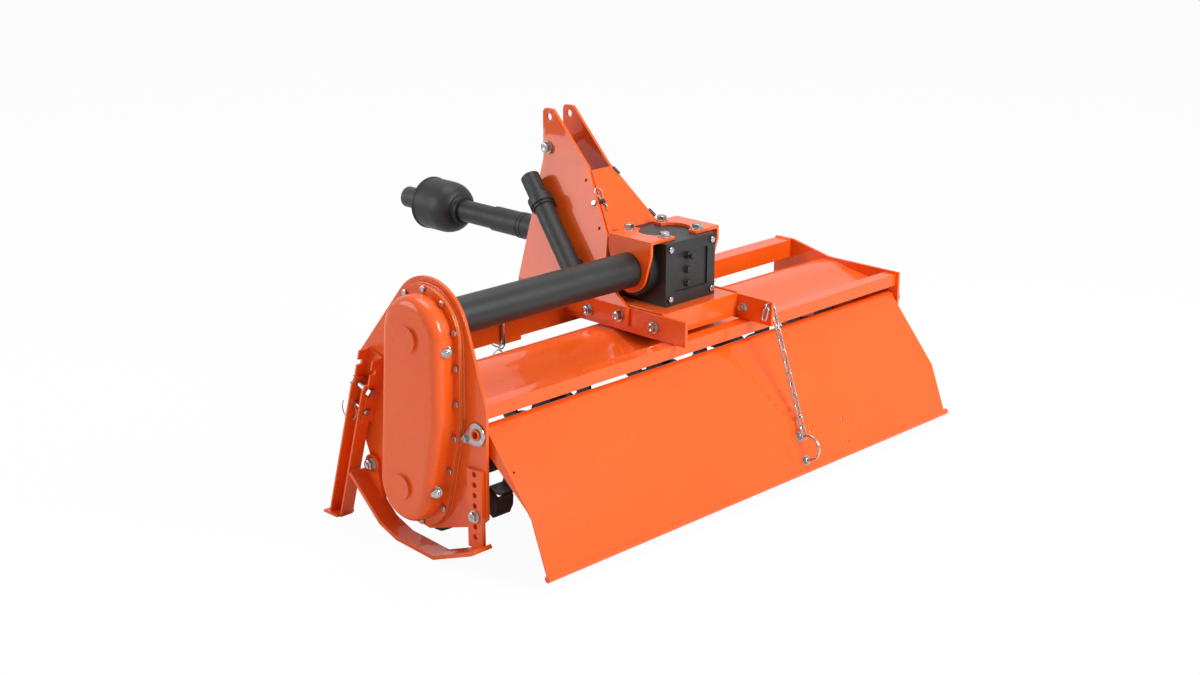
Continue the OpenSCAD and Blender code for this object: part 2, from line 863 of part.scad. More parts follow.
module deflector_panel() {
    half = deflector_half;
    wing = 38;
    inward = side_of(sheet_top, knee);
    color(ORANGE) placed() difference() {
        union() {
            plate_x(-half, 2 * half) polygon(bent([sheet_top, knee, sheet_low], deflector_t));
            rod_x(hinge_at, top_roll_r, -half, half);
            rod_x(low_edge, low_roll_r, -half, half + 12);
            for (x = [-half, half - deflector_t])
                plate_x(x, deflector_t)
                    polygon([sheet_top, knee, sheet_top + 0.12 * (knee - sheet_top) + wing * inward]);
        }
        rod_x(hinge_at, hinge_r + fit, -half - 1, half + 1);
        for (s = [-hoop_r, hoop_r])
            off_panel(hoop_mid + s * panel_dir) translate([0, 0, -20]) cylinder(r = hoop_d / 2 + fit, h = 40);
        for (p = [[45, 48], [177, 48], [177, 110]])
            off_panel(knee + p[1] * panel_dir) translate([p[0], 0, -20]) cylinder(r = 3.5, h = 40);
        translate([-deflector_half + 14, 0, 0]) off_panel((sheet_top + knee) / 2) translate([-chain_x, 0, -30])
            cylinder(r = 3.5, h = 60);
    }
}

module deflector_pipe() {
    color(ORANGE) placed() difference() {
        rod_x(hinge_at, hinge_r, -x_out - 9, x_out + 9);
        rod_x(hinge_at, hinge_r - 5, -x_out - 10, x_out + 10);
    }
}

module deflector_hoop() {
    leg = deflector_t + 14;
    sunk = 3;
    color(ZINC) placed() {
        off_panel(hoop_bend) rotate([0, 0, 90]) rotate([90, 0, 0])
            rotate_extrude(angle = 180) translate([hoop_r, 0]) circle(d = hoop_d);
        for (s = [-hoop_r, hoop_r])
            off_panel(hoop_mid + s * panel_dir) translate([0, 0, -leg]) cylinder(d = hoop_d - 0.4, h = leg + hoop_leg + sunk);
    }
}

// Chain from the notch in the right bracket down to the hoop, with a loose link on the other side

module link(w = link_w) {
    bend = (w + link_d) / 2;
    straight = link_len - w;
    for (s = [-1, 1]) {
        translate([s * bend, 0, -straight / 2]) cylinder(d = link_d, h = straight, $fn = 8);
        translate([0, 0, s * straight / 2]) rotate([s * 90, 0, 0])
            rotate_extrude(angle = 180, $fn = 12) translate([bend, 0]) circle(d = link_d, $fn = 8);
    }
}

// Hangs n links downwards from a wire's middle, each turned a quarter against the one before;
// the last one is end_w wide inside
module hang(n, end_w) {
    for (i = [0 : n - 1])
        translate([0, 0, -(link_len + link_d) / 2 - i * link_pitch]) rotate(i % 2 == 0 ? 90 : 0)
            link(i == n - 1 ? end_w : link_w);
}

module deflector_chain() {
    across = (link_len - link_w) / 2 + 0.4;
    tail_x = chain_x - 2 * across;
    color(ZINC) placed() {
        translate([chain_x - across, notch_at[0], notch_at[1]]) rotate([0, 90, 0]) link();
        translate([chain_x, chain_top[0], chain_top[1]])
            rotate([atan2(-chain_dir[0], chain_dir[1]), 0, 0]) hang(link_n, ring_w);
        translate([tail_x, chain_foot[0], chain_foot[1] + link_d + 0.25]) rotate([0, 20, 0]) hang(1, link_w);
    }
}

// Driveline: forks, crosses, two shield tubes that slide in each other, and the tractor yoke

// A fork with its ears across X, its joint at the origin and its neck reaching back along -Y
module fork(reach) {
    web = fork_r + 12;
    difference() {
        union() {
            rod_y(0, 0, fork_neck_r, -reach, -web);
            for (x = [-fork_out, fork_in])
                translate([x, 0, 0]) {
                    rod_x([0, 0], fork_r, 0, fork_out - fork_in);
                    block([0, -web - 4, -fork_r], [fork_out - fork_in, 0, fork_r]);
                }
        }
        rod_x([0, 0], trunnion_r + fit, -fork_out - 1, fork_out + 1);
        block([-fork_in, -web - 6, -40], [fork_in, fork_r + 1, 40]);
    }
}

module at_joint(y) {
    placed() translate([0, y, gear_z]) children();
}

module facing_front() {
    mirror([0, 1, 0]) rotate([0, 90, 0]) children();
}

module cross_piece() {
    hub = fork_in - 4;
    for (a = [0, 90])
        rotate([0, a, 0]) {
            cylinder(r = trunnion_r, h = 2 * fork_out, center = true);
            cylinder(r = trunnion_r + 4, h = 2 * hub, center = true);
        }
}

module gearbox_yoke() {
    color(STEEL) {
        at_joint(joint_y) fork(joint_y - gear_front - gear_neck - 10);
        placed() rod_y(0, gear_z, 22, gear_front + gear_neck, gear_front + gear_neck + 12);
    }
}

module joint_cross() {
    color(STEEL) at_joint(joint_y) cross_piece();
}

module driveline_rear_yoke() {
    color(STEEL) at_joint(joint_y) facing_front() fork(rear_tube_y - joint_y);
}

module driveline_rear_shield() {
    bore = front_shield_r + slip;
    color(BLACK) placed() difference() {
        union() {
            rod_y(0, gear_z, rear_shield_r, rear_tube_y, rear_tube_end);
            for (y = [rear_tube_end - 126, rear_tube_end - 112])
                rod_y(0, gear_z, rear_shield_r + 1.5, y, y + 9);
        }
        rod_y(0, gear_z, bore, rear_tube_y + 8, rear_tube_end + 1);
    }
}

module driveline_front_shield() {
    wall = 3;
    tube_in = front_shield_r - 4;
    seat_r = shaft_r + slip;
    neck_r = front_shield_r + 8;
    shoulder_y = bell_neck_y + 16;
    dome_y = bell_rim_y - 76;
    steps = 8;
    // Quarter of an ellipse from the neck to the bell's cylinder, moved in by t
    function dome(t) = [for (i = [0 : steps]) let(a = 90 * i / steps) [
        neck_r - t + (bell_r - 2 - neck_r) * sin(a), dome_y - (dome_y - shoulder_y - t) * cos(a)]];
    inner = dome(wall);
    color(BLACK) placed() translate([0, 0, gear_z]) rotate([-90, 0, 0]) rotate_extrude() polygon(concat(
        [
            [tube_in, front_tube_y], [front_shield_r, front_tube_y], [front_shield_r, bell_neck_y],
            [neck_r, bell_neck_y], [neck_r, bell_neck_y + 10], [neck_r - 3, bell_neck_y + 12]
        ],
        dome(0),
        [
            [bell_r - 2, bell_rim_y - 6], [bell_r, bell_rim_y - 6], [bell_r, bell_rim_y],
            [bell_r - 2 - wall, bell_rim_y]
        ],
        [for (i = [steps : -1 : 0]) inner[i]],
        [[seat_r, shoulder_y + wall], [seat_r, bell_neck_y - 6], [tube_in, bell_neck_y - 8]]
    ));
}

module pto_shaft() {
    neck = 44;
    color(STEEL) {
        at_joint(pto_joint_y) fork(neck);
        placed() rod_y(0, gear_z, shaft_r, shaft_end_y, pto_joint_y - neck + 4);
    }
}

module pto_cross() {
    color(STEEL) at_joint(pto_joint_y) cross_piece();
}

module pto_yoke() {
    reach = yoke_tip_y - pto_joint_y;
    color(STEEL) at_joint(pto_joint_y) facing_front() difference() {
        fork(reach);
        rod_y(0, 0, pto_r, -reach - 1, -fork_r);
    }
}

left_side_plate();
right_side_plate();
front_tube();
hood();
chain_case_rim();
chain_case_gasket();
chain_case_cover();
axle_tube();
gearbox_housing();
gearbox_cover();
gearbox_yoke();
gearbox_mount_left();
gearbox_mount_right();
gearbox_base();
support_bracket_left();
support_bracket_right();
mast_plate_left();
mast_plate_right();
mast_spacer();
mast_guard();
manual_canister();
canister_cap();
lower_hitch_left();
lower_hitch_right();
hitch_lock_pins();
rotor_bearing();
skid_left();
skid_right();
hinge_retainers();
stand_bracket();
stand_pivot();
deflector_chain();
rotor();
deflector_panel();
deflector_pipe();
deflector_hoop();
parking_stand();
stand_lock_pin();
joint_cross();
driveline_rear_yoke();
driveline_rear_shield();
driveline_front_shield();
pto_shaft();
pto_cross();
pto_yoke();
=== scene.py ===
import json
import math

import bmesh
import bpy
from mathutils import Matrix, Vector


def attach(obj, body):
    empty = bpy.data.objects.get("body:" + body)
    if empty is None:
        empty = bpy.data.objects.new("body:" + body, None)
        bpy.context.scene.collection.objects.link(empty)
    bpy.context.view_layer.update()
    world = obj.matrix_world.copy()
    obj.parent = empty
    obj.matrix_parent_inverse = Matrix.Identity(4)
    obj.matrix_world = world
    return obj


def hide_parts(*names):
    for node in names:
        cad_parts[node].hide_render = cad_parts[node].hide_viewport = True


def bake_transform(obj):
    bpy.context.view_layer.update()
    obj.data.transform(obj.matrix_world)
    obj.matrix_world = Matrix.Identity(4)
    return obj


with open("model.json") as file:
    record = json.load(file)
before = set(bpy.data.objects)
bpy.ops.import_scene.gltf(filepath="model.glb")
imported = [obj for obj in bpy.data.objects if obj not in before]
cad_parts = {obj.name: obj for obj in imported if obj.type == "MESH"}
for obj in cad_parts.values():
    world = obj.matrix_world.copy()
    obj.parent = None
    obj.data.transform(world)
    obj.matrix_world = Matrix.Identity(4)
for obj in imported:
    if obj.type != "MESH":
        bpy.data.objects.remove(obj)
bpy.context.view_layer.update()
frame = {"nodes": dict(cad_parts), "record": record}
X, Y, Z = Vector((1, 0, 0)), Vector((0, 1, 0)), Vector((0, 0, 1))

# Places are in millimetres, as in the part's source, which has its origin on the ground under the
# gearbox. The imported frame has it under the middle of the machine's box. Sizes of the small parts
# are in metres.
MID = Vector((-0.0105, 0.292738, 0.0))


def at(x, y, z):
    return Vector((x, y, z)) / 1000.0 - MID


def show(obj):
    bpy.context.scene.collection.objects.link(obj)


# Camera

EYE = at(-3195.2, -2947.8, 1712.1)
BACK = Vector((-0.6774, -0.6706, 0.3025)).normalized()
RIGHT = Vector((0.0, 0.0, 1.0)).cross(BACK).normalized()
UP = BACK.cross(RIGHT)
camera = bpy.data.objects.new("camera", bpy.data.cameras.new("camera"))
camera.data.sensor_width = 36.0
camera.data.lens = 53.755
camera.data.clip_end = 100.0
turn = Matrix((RIGHT, UP, BACK)).transposed().to_4x4()
turn.translation = EYE
camera.matrix_world = turn
show(camera)
bpy.context.scene.camera = camera

# Materials


class Finish:
    """One node material: a Principled shader with textures in the machine's own coordinates."""

    def __init__(self, name, **sockets):
        self.material = bpy.data.materials.new(name)
        self.material.use_nodes = True
        self.nodes = self.material.node_tree.nodes
        self.links = self.material.node_tree.links
        self.shader = self.nodes["Principled BSDF"]
        for key, value in sockets.items():
            self.shader.inputs[key.replace("_", " ")].default_value = value
        self.place = self.nodes.new("ShaderNodeTexCoord").outputs["Object"]

    def noise(self, scale, detail, roughness=0.55, stretch=None):
        node = self.nodes.new("ShaderNodeTexNoise")
        node.inputs["Scale"].default_value = scale
        node.inputs["Detail"].default_value = detail
        node.inputs["Roughness"].default_value = roughness
        place = self.place
        if stretch:
            mapping = self.nodes.new("ShaderNodeMapping")
            mapping.inputs["Scale"].default_value = stretch
            self.links.new(place, mapping.inputs["Vector"])
            place = mapping.outputs["Vector"]
        self.links.new(place, node.inputs["Vector"])
        return node.outputs["Fac"]

    def ramp(self, value, low, high, from_value=0.0, to_value=1.0):
        node = self.nodes.new("ShaderNodeMapRange")
        node.inputs["From Min"].default_value = low
        node.inputs["From Max"].default_value = high
        node.inputs["To Min"].default_value = from_value
        node.inputs["To Max"].default_value = to_value
        self.links.new(value, node.inputs["Value"])
        return node.outputs["Result"]

    def times(self, a, b):
        node = self.nodes.new("ShaderNodeMath")
        node.operation = "MULTIPLY"
        self.links.new(a, node.inputs[0])
        self.links.new(b, node.inputs[1])
        return node.outputs[0]

    def mix(self, factor, a, b):
        """Mixes two colours, each a tuple or an output of another node."""
        node = self.nodes.new("ShaderNodeMix")
        node.data_type = "RGBA"
        self.links.new(factor, node.inputs["Factor"])
        sockets = [s for s in node.inputs if s.type == "RGBA"]
        for socket, value in zip(sockets, (a, b)):
            if isinstance(value, tuple):
                socket.default_value = (*value, 1.0)
            else:
                self.links.new(value, socket)
        return [s for s in node.outputs if s.type == "RGBA"][0]

    def edges(self, radius, low, high):
        """1 on sharp outer edges, 0 on flats."""
        bevel = self.nodes.new("ShaderNodeBevel")
        bevel.samples = 4
        bevel.inputs["Radius"].default_value = radius
        flat = self.nodes.new("ShaderNodeNewGeometry")
        dot = self.nodes.new("ShaderNodeVectorMath")
        dot.operation = "DOT_PRODUCT"
        self.links.new(bevel.outputs["Normal"], dot.inputs[0])
        self.links.new(flat.outputs["True Normal"], dot.inputs[1])
        return self.ramp(dot.outputs["Value"], 1.0 - low, 1.0 - high)

    def bump(self, height, strength, distance):
        node = self.nodes.new("ShaderNodeBump")
        node.inputs["Strength"].default_value = strength
        node.inputs["Distance"].default_value = distance
        self.links.new(height, node.inputs["Height"])
        self.links.new(node.outputs["Normal"], self.shader.inputs["Normal"])

    def set(self, socket, value):
        self.links.new(value, self.shader.inputs[socket])


def orange_paint():
    f = Finish("orange_paint", Coat_Weight=0.55, Coat_Roughness=0.035, Coat_IOR=1.5, Specular_IOR_Level=0.18)
    cloud = f.ramp(f.noise(3.5, 4.0), 0.3, 0.7)
    colour = f.mix(cloud, (0.84, 0.100, 0.0065), (0.89, 0.111, 0.0080))
    speck = f.ramp(f.noise(260.0, 2.0), 0.66, 0.76, 0.0, 0.10)
    colour = f.mix(speck, colour, (0.93, 0.20, 0.06))
    worn = f.times(f.edges(0.0022, 0.03, 0.22), f.ramp(f.noise(24.0, 3.0), 0.40, 0.66, 0.10, 0.55))
    f.set("Base Color", f.mix(worn, colour, (0.96, 0.27, 0.10)))
    f.set("Roughness", f.ramp(f.noise(40.0, 4.0), 0.25, 0.75, 0.24, 0.36))
    return f.material


def black_finish(name, colour, rough, grain, strength):
    """Black paint or plastic: a mottled dark ground with dust and worn edges."""
    f = Finish(name, Specular_IOR_Level=0.45)
    cloud = f.ramp(f.noise(6.0, 5.0), 0.3, 0.7)
    base = f.mix(cloud, colour, tuple(c * 1.45 for c in colour))
    dust = f.ramp(f.noise(55.0, 5.0), 0.52, 0.78, 0.0, 0.22)
    base = f.mix(dust, base, tuple(c * 2.6 + 0.012 for c in colour))
    worn = f.times(f.edges(0.0018, 0.03, 0.24), f.ramp(f.noise(30.0, 3.0), 0.42, 0.68, 0.05, 0.7))
    f.set("Base Color", f.mix(worn, base, (0.085, 0.084, 0.082)))
    f.set("Roughness", f.ramp(f.noise(48.0, 4.0), 0.25, 0.75, rough - 0.06, rough + 0.1))
    f.bump(f.noise(grain, 3.0), strength, 0.0008)
    return f.material


def zinc_plate():
    f = Finish("zinc_plate", Metallic=1.0)
    cloud = f.ramp(f.noise(90.0, 4.0), 0.3, 0.7)
    base = f.mix(cloud, (0.34, 0.345, 0.35), (0.56, 0.56, 0.555))
    tint = f.ramp(f.noise(22.0, 3.0), 0.52, 0.74, 0.0, 0.35)
    f.set("Base Color", f.mix(tint, base, (0.46, 0.43, 0.36)))
    f.set("Roughness", f.ramp(f.noise(160.0, 4.0), 0.25, 0.75, 0.14, 0.30))
    f.bump(f.noise(700.0, 2.0), 0.12, 0.0003)
    return f.material


def rotor_steel():
    f = Finish("rotor_steel", Specular_IOR_Level=0.5)
    cloud = f.ramp(f.noise(14.0, 5.0), 0.3, 0.7)
    base = f.mix(cloud, (0.018, 0.018, 0.020), (0.040, 0.040, 0.043))
    worn = f.times(f.edges(0.002, 0.03, 0.2), f.ramp(f.noise(34.0, 4.0), 0.35, 0.62))
    f.set("Base Color", f.mix(worn, base, (0.16, 0.155, 0.15)))
    f.set("Roughness", f.ramp(f.noise(60.0, 5.0), 0.25, 0.75, 0.34, 0.55))
    f.bump(f.noise(420.0, 4.0), 0.18, 0.0008)
    return f.material


def gasket_card():
    f = Finish("gasket_card", Specular_IOR_Level=0.25)
    fibre = f.noise(120.0, 6.0, 0.7, (1.0, 1.0, 6.0))
    f.set("Base Color", f.mix(f.ramp(fibre, 0.3, 0.7), (0.34, 0.19, 0.06), (0.52, 0.32, 0.12)))
    f.set("Roughness", f.ramp(f.noise(70.0, 3.0), 0.25, 0.75, 0.62, 0.85))
    f.bump(fibre, 0.3, 0.0006)
    return f.material


FINISH = {
    "orange_paint": orange_paint(),
    "black_paint": black_finish("black_paint", (0.011, 0.011, 0.0115), 0.40, 620.0, 0.16),
    "black_plastic": black_finish("black_plastic", (0.010, 0.010, 0.0105), 0.44, 900.0, 0.10),
    "zinc_plate": zinc_plate(),
    "rotor_steel": rotor_steel(),
    "gasket_card": gasket_card(),
}

# Softened CAD nodes


def smooth_group():
    """Shades smooth everywhere except on edges sharper than 40 degrees."""
    group = bpy.data.node_groups.new("smooth_by_angle", "GeometryNodeTree")
    group.interface.new_socket("Geometry", in_out="INPUT", socket_type="NodeSocketGeometry")
    group.interface.new_socket("Geometry", in_out="OUTPUT", socket_type="NodeSocketGeometry")
    new, link = group.nodes.new, group.links.new
    faces, edges = new("GeometryNodeSetShadeSmooth"), new("GeometryNodeSetShadeSmooth")
    faces.domain, edges.domain = "FACE", "EDGE"
    less = new("FunctionNodeCompare")
    less.data_type, less.operation = "FLOAT", "LESS_EQUAL"
    less.inputs[1].default_value = math.radians(40.0)
    link(new("GeometryNodeInputMeshEdgeAngle").outputs["Unsigned Angle"], less.inputs[0])
    link(new("NodeGroupInput").outputs[0], faces.inputs["Geometry"])
    link(faces.outputs["Geometry"], edges.inputs["Geometry"])
    link(less.outputs["Result"], edges.inputs["Shade Smooth"])
    link(edges.outputs["Geometry"], new("NodeGroupOutput").inputs[0])
    return group


SMOOTH = smooth_group()


def shade(obj):
    obj.modifiers.new("smooth", "NODES").node_group = SMOOTH


def soften(obj, width):
    """Rounds a CAD node's sharp edges a little, as a rolled or cut plate has them."""
    normals = obj.data.attributes.get("custom_normal")
    if normals:
        obj.data.attributes.remove(normals)
    weld = obj.modifiers.new("weld", "WELD")
    weld.merge_threshold = 0.00002
    if width:
        flat = obj.modifiers.new("flat", "DECIMATE")
        flat.decimate_type = "DISSOLVE"
        flat.angle_limit = math.radians(0.4)
        bevel = obj.modifiers.new("bevel", "BEVEL")
        bevel.width = width
        bevel.segments = 2
        bevel.limit_method = "ANGLE"
        bevel.angle_limit = math.radians(42.0)
        bevel.miter_outer = "MITER_ARC"
        bevel.use_clamp_overlap = True
    shade(obj)
    if width:
        even = obj.modifiers.new("even", "WEIGHTED_NORMAL")
        even.keep_sharp = True


EDGE = 0.0012
EDGE_OF = {
    "chain_case_gasket": 0.0,
    "rotor": 0.0,
    "deflector_chain": 0.0,
    "gearbox_cover": 0.0,
    "gearbox_housing": 0.004,
}
SLOT_OF = {row["node"]: row["material_slot"] for row in frame["record"]["subparts"]}
for name, node in frame["nodes"].items():
    node.data.materials.clear()
    node.data.materials.append(FINISH[SLOT_OF[name]])
    soften(node, EDGE_OF.get(name, EDGE))

# Small parts


def facing(point, axis):
    """A frame at a point of the machine, with +Z along axis."""
    turned = Z.rotation_difference(Vector(axis).normalized()).to_matrix().to_4x4()
    turned.translation = point
    return turned


def spoke(r, angle, z):
    return Vector((r * math.cos(angle), r * math.sin(angle), z))


def arc_points(centre, u, v, r, start, end, n):
    return [
        centre + r * (math.cos(a) * u + math.sin(a) * v)
        for a in (math.radians(start + (end - start) * i / n) for i in range(n + 1))
    ]


class Kit:
    """One piece of the scene: many small solids joined in a mesh that rides on one body."""

    made = []
    CHAMFER = 0.0006
    THREAD = 0.0012
    RIPPLE_STEP = 0.0026

    def __init__(self, name, body, slot):
        self.name, self.body, self.slot = name, body, slot
        self.mesh = bmesh.new()
        Kit.made.append(self)

    def ring(self, points):
        return [self.mesh.verts.new(p) for p in points]

    def skin(self, rings, closed=False):
        """Joins a row of rings, and caps both ends unless the row is closed."""
        for a, b in zip(rings, rings[1:] + (rings[:1] if closed else [])):
            for i in range(len(a)):
                j = (i + 1) % len(a)
                self.mesh.faces.new((a[i], a[j], b[j], b[i]))
        if not closed:
            self.mesh.faces.new(rings[0][::-1])
            self.mesh.faces.new(rings[-1])

    def lathe(self, place, profile, n):
        """Turns a profile of (radius, height) round the place's axis."""
        self.skin([
            self.ring([place @ spoke(r, 2 * math.pi * i / n, h) for i in range(n)]) for r, h in profile
        ])

    def washer(self, place, r, t):
        c = self.CHAMFER
        self.lathe(place, [(r - c, 0.0), (r, c), (r, t - c), (r - c, t)], 32)

    def hexagon(self, place, r, low, h):
        """Hexagon head or nut with the turned chamfer on its upper face."""
        flat, top = r * math.cos(math.pi / 6), low + h
        radius = [r if i % 2 == 0 else flat for i in range(12)]
        drop = [0.16 * h if i % 2 == 0 else 0.03 * h for i in range(12)]

        def loop(rs, zs):
            return self.ring([place @ spoke(q, i * math.pi / 6, z) for i, (q, z) in enumerate(zip(rs, zs))])

        self.skin([
            loop(radius, [low] * 12),
            loop(radius, [top - d for d in drop]),
            loop([flat * 0.95] * 12, [top] * 12),
            loop([flat * 0.55] * 12, [top] * 12),
            loop([flat * 0.50] * 12, [top - 0.0004] * 12),
        ])

    def bolt(self, point, axis, r, h, washer=True, stud=0.0):
        """Hexagon of corner radius r, on a washer, with the bolt's end showing where it is a nut."""
        place = facing(point, axis)
        low = 0.0
        if washer:
            low = 0.16 * r + 0.001
            self.washer(place, 1.24 * r, low)
        self.hexagon(place, r, low, h)
        if stud:
            core, top = 0.58 * r, low + h
            steps = max(2, int(stud / self.THREAD))
            profile = [(core, top - 0.001)]
            for i in range(steps):
                z = top + stud * i / steps
                profile += [(core, z), (core * 0.9, z + 0.5 * stud / steps)]
            self.lathe(place, profile + [(core * 0.8, top + stud)], 20)

    def tube(self, points, r, n, closed=False, ripple=0.0):
        """Round wire or weld bead along a line of points."""
        count = len(points)
        ways = []
        for i in range(count):
            a = points[(i - 1) % count] if closed else points[max(i - 1, 0)]
            b = points[(i + 1) % count] if closed else points[min(i + 1, count - 1)]
            ways.append((b - a).normalized())
        side = ways[0].orthogonal().normalized()
        rings = []
        for i, (p, way) in enumerate(zip(points, ways)):
            if i:
                side = ways[i - 1].rotation_difference(way) @ side
            side = (side - side.dot(way) * way).normalized()
            other = way.cross(side)
            q = r * (1.0 + ripple * math.sin(2.1 * i))
            rings.append(self.ring([
                p + q * (math.cos(2 * math.pi * k / n) * side + math.sin(2 * math.pi * k / n) * other)
                for k in range(n)
            ]))
        self.skin(rings, closed)

    def bead(self, line, r, closed=False):
        """Weld bead with its ripples, from corner to corner of a line."""
        corners = list(line) + ([line[0]] if closed else [])
        points = []
        for a, b in zip(corners, corners[1:]):
            n = max(2, int((b - a).length / self.RIPPLE_STEP))
            points += [a.lerp(b, i / n) for i in range(n)]
        if not closed:
            points.append(corners[-1])
        self.tube(points, r, 8, closed, 0.10)

    def finish(self):
        bmesh.ops.recalc_face_normals(self.mesh, faces=self.mesh.faces)
        data = bpy.data.meshes.new(self.name)
        self.mesh.to_mesh(data)
        self.mesh.free()
        obj = bpy.data.objects.new(self.name, data)
        show(obj)
        data.materials.append(FINISH[self.slot])
        shade(obj)
        if self.body:
            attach(obj, self.body)
        return obj


# Faces that the small parts sit on, from the part's source
PLATE_IN, PLATE_OUT, FLANGE_OUT = 757.0, 765.0, 779.0
SKID_OUT, BEARING_OUT, RETAINER_OUT = 775.0, 775.0, 770.0
BRACKET_IN, BRACKET_OUT, MAST_FOOT_OUT, MAST_EAR_OUT = 137.0, 145.0, 153.0, 40.0
TUBE_REAR, TUBE_FRONT, TUBE_TOP = 189.0, 241.0, 417.0
HITCH_X, CLEVIS_HALF = 341.5, 36.0
GEAR_Z, MOUNT_TOP, COVER_REAR, POCKET_REAR = 538.0, 620.0, -100.0, -95.0
ROTOR_Y, ROTOR_Z = 27.0, 160.0
STAND_X, STAND_Y, STAND_Z = -794.0, 203.0, 348.0

# Chain case: bolts round the flange, filler and drain plugs
CASE = [
    (Vector((-10.0, 518.0)), 114.0),
    (Vector((-18.0, 345.0)), 104.0),
    (Vector((ROTOR_Y, ROTOR_Z)), 106.0),
]
CASE_BOLTS = (0, 68, 139, 220, 303, 387, 473, 573, 672, -68, -139, -220, -303, -387, -473, -573)


def normal(first, second, way):
    """Angle of the outward normal of the line that touches two circles, on the rear (-1) or front (1)."""
    d = second[0] - first[0]
    return math.atan2(d.y, d.x) + way * math.acos((first[1] - second[1]) / d.length)


def belt(inset, n):
    """Points of the chain case's outline, moved in, anticlockwise from its highest point."""
    top, mid, low = [(c, r - inset) for c, r in CASE]
    turn = 2 * math.pi
    upper, lower = normal(top, mid, -1) + turn, normal(mid, low, -1) + turn
    front = normal(top, low, 1)
    arcs = (
        (top, math.pi / 2, upper),
        (mid, upper, lower),
        (low, lower, front + turn),
        (top, front, math.pi / 2),
    )
    points = []
    for (c, r), p, q in arcs:
        for i in range(n + 1):
            a = p + (q - p) * i / n
            points.append(c + r * Vector((math.cos(a), math.sin(a))))
    return points


def along(points, distance):
    """The point at a distance along a closed line of points."""
    total = sum((b - a).length for a, b in zip(points, points[1:]))
    left = distance % total
    for a, b in zip(points, points[1:]):
        step = (b - a).length
        if left <= step and step > 0:
            return a.lerp(b, left / step)
        left -= step
    return points[-1]


case_bolts = Kit("chain_case_bolts", "frame", "zinc_plate")
bolt_line = belt(8.5, 64)
for s in CASE_BOLTS:
    p = along(bolt_line, s)
    case_bolts.bolt(at(-FLANGE_OUT, p.x, p.y), -X, 0.0078, 0.0055, washer=False)
plug_way = Vector((-0.64, -0.77, 0.0))
for x, y, z in ((-797.0, -101.0, 503.0), (-806.0, -66.0, 166.0)):
    seat = at(x, y, z)
    case_bolts.lathe(facing(seat, plug_way), [(0.0145, -0.008), (0.0145, 0.002), (0.0135, 0.003)], 32)
    case_bolts.bolt(seat + 0.003 * plug_way, plug_way, 0.0112, 0.011, washer=False)
    tip = facing(seat + 0.0135 * plug_way, plug_way)
    case_bolts.lathe(tip, [(0.006, 0.0), (0.006, 0.003), (0.005, 0.004)], 24)

# Gearbox: cover bolts, level plugs and the four bolts through the mounting plates
gear_bolts = Kit("gearbox_bolts", "frame", "zinc_plate")
for x in (-75.5, 75.5):
    for z in (470.0, 596.0):
        gear_bolts.bolt(at(x, COVER_REAR, z), -Y, 0.0085, 0.007, washer=False)
for x in (-60.0, 60.0):
    for y in (-66.0, 54.0):
        gear_bolts.bolt(at(x, y, MOUNT_TOP), Z, 0.0125, 0.010)
gear_plugs = Kit("gearbox_plugs", "frame", "black_paint")
LEVELS = (570.0, 534.0, 500.0)
for z in LEVELS:
    place = facing(at(-9, POCKET_REAR, z), -Y)
    gear_plugs.lathe(place, [(0.0105, -0.002), (0.0105, 0.003), (0.0098, 0.004)], 28)
    gear_plugs.hexagon(place, 0.0085, 0.004, 0.007)
breather = [(0.005, 0.008), (0.005, 0.016), (0.0078, 0.017), (0.0078, 0.022), (0.006, 0.024)]
gear_plugs.lathe(facing(at(-9, POCKET_REAR, LEVELS[0]), -Y), breather, 24)

# Frame bolts: supporting brackets, mast, skids, hinge retainers and rotor bearing
frame_bolts = Kit("frame_bolts", "frame", "zinc_plate")
for side in (-1, 1):
    out = side * X
    frame_bolts.bolt(at(side * BRACKET_OUT, -112, 417), out, 0.0125, 0.0095)
    for y, z in ((-1, 425), (104, 418)):
        frame_bolts.bolt(at(side * MAST_FOOT_OUT, y, z), out, 0.0125, 0.0095)
        frame_bolts.bolt(at(side * BRACKET_IN, y, z), -out, 0.0125, 0.0105, stud=0.004)
    ear = at(side * MAST_EAR_OUT, 365, 779)
    if side < 0:
        frame_bolts.bolt(ear, out, 0.0140, 0.0115)
    else:
        frame_bolts.bolt(ear, out, 0.0140, 0.014, stud=0.006)
    for y, z, r, h in ((-160, 126, 0.0125, 0.0095), (206, 149, 0.0140, 0.0105)):
        frame_bolts.bolt(at(side * SKID_OUT, y, z), out, r, h)
        frame_bolts.bolt(at(side * PLATE_IN, y, z), -out, r, h + 0.001, stud=0.004)
    frame_bolts.bolt(at(side * RETAINER_OUT, -128, 301), out, 0.0092, 0.0070, washer=False)
frame_bolts.bolt(at(BRACKET_IN, -156, 417), -X, 0.0110, 0.0085)
for i in range(4):
    a = math.radians(45 + 90 * i)
    seat = at(BEARING_OUT, ROTOR_Y + 52 * math.cos(a), ROTOR_Z + 52 * math.sin(a))
    frame_bolts.bolt(seat, X, 0.0092, 0.007, washer=False)

